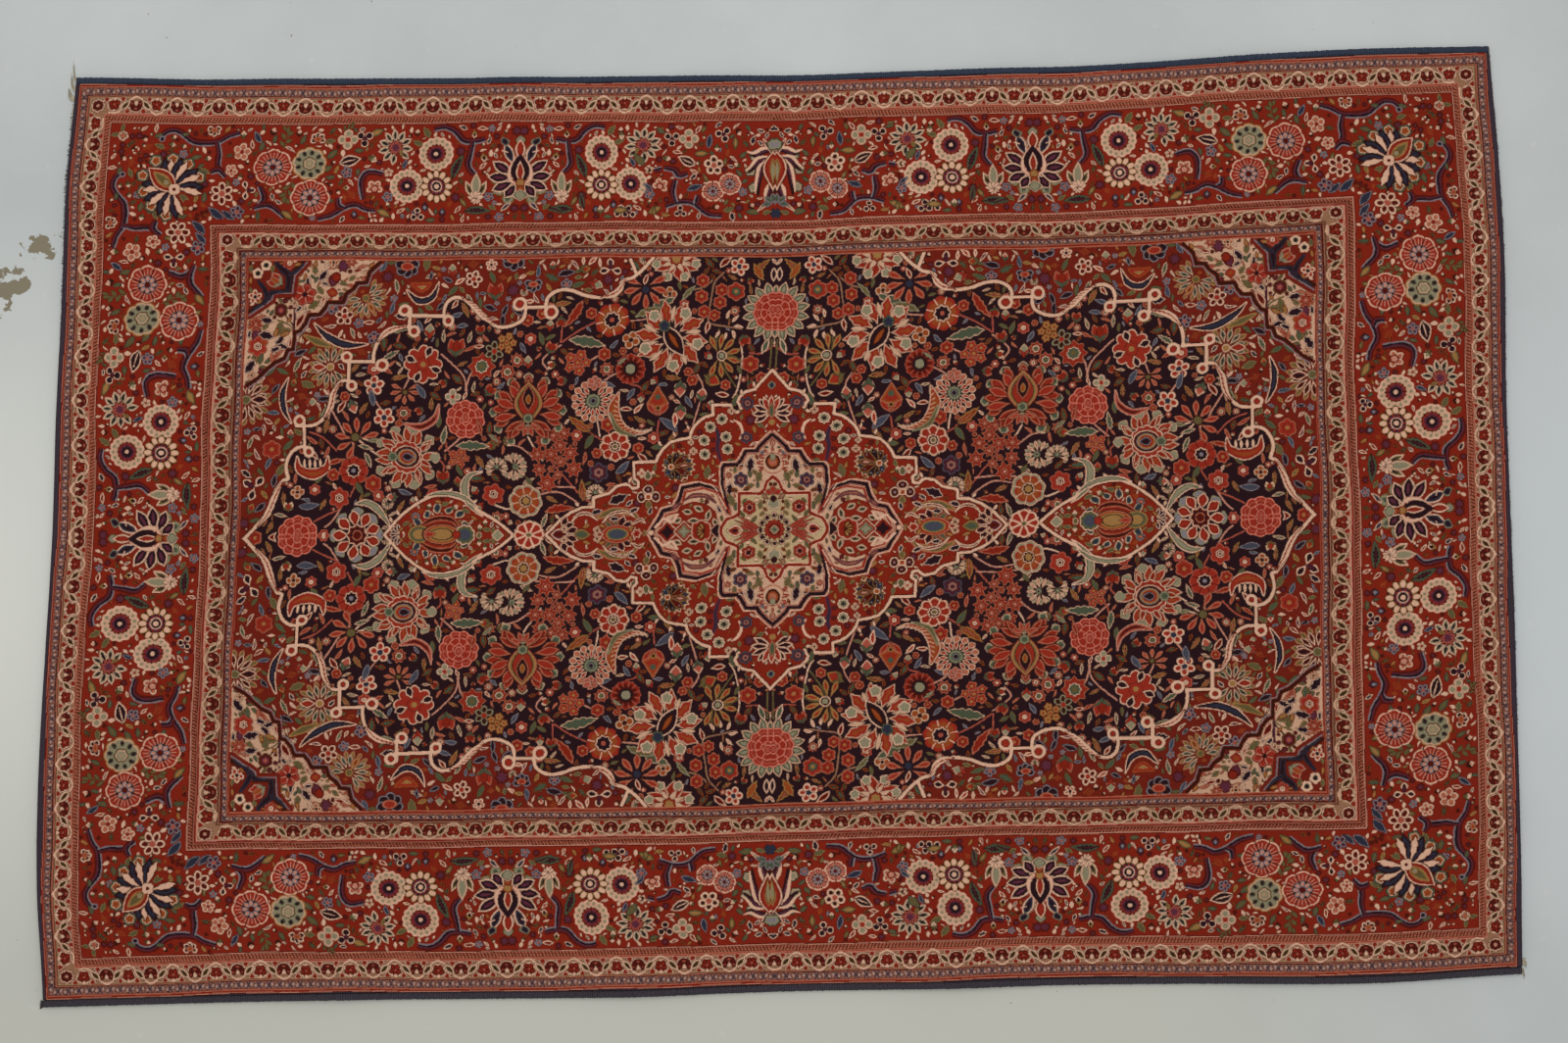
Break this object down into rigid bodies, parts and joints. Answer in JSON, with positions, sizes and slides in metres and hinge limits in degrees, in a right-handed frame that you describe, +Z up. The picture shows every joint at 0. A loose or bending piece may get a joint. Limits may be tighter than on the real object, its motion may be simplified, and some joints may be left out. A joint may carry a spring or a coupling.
{
  "type": "persian rug",
  "caption": "Hand-knotted wool medallion rug with overcast side cords and worn cotton warp ends, lying flat on a floor.",
  "frame": {"origin": "middle of the rug's bounding box, on the surface that it lies on", "axes": "+X along the rug's length, +Y across it, +Z up from the floor through the pile"},
  "size_m": [2.1574, 1.3896, 0.0125],
  "materials": {
    "wool_pile": "knotted wool pile, short and slightly worn",
    "overcast_wool": "navy wool yarn wrapped over the edge warps",
    "cotton_warp": "undyed cotton, frayed"
  },
  "bodies": {
    "root": {"carpet": "wool_pile", "selvedge_far": "overcast_wool", "selvedge_near": "overcast_wool", "fringe_left": "cotton_warp", "fringe_right": "cotton_warp"}
  },
  "joints": []
}
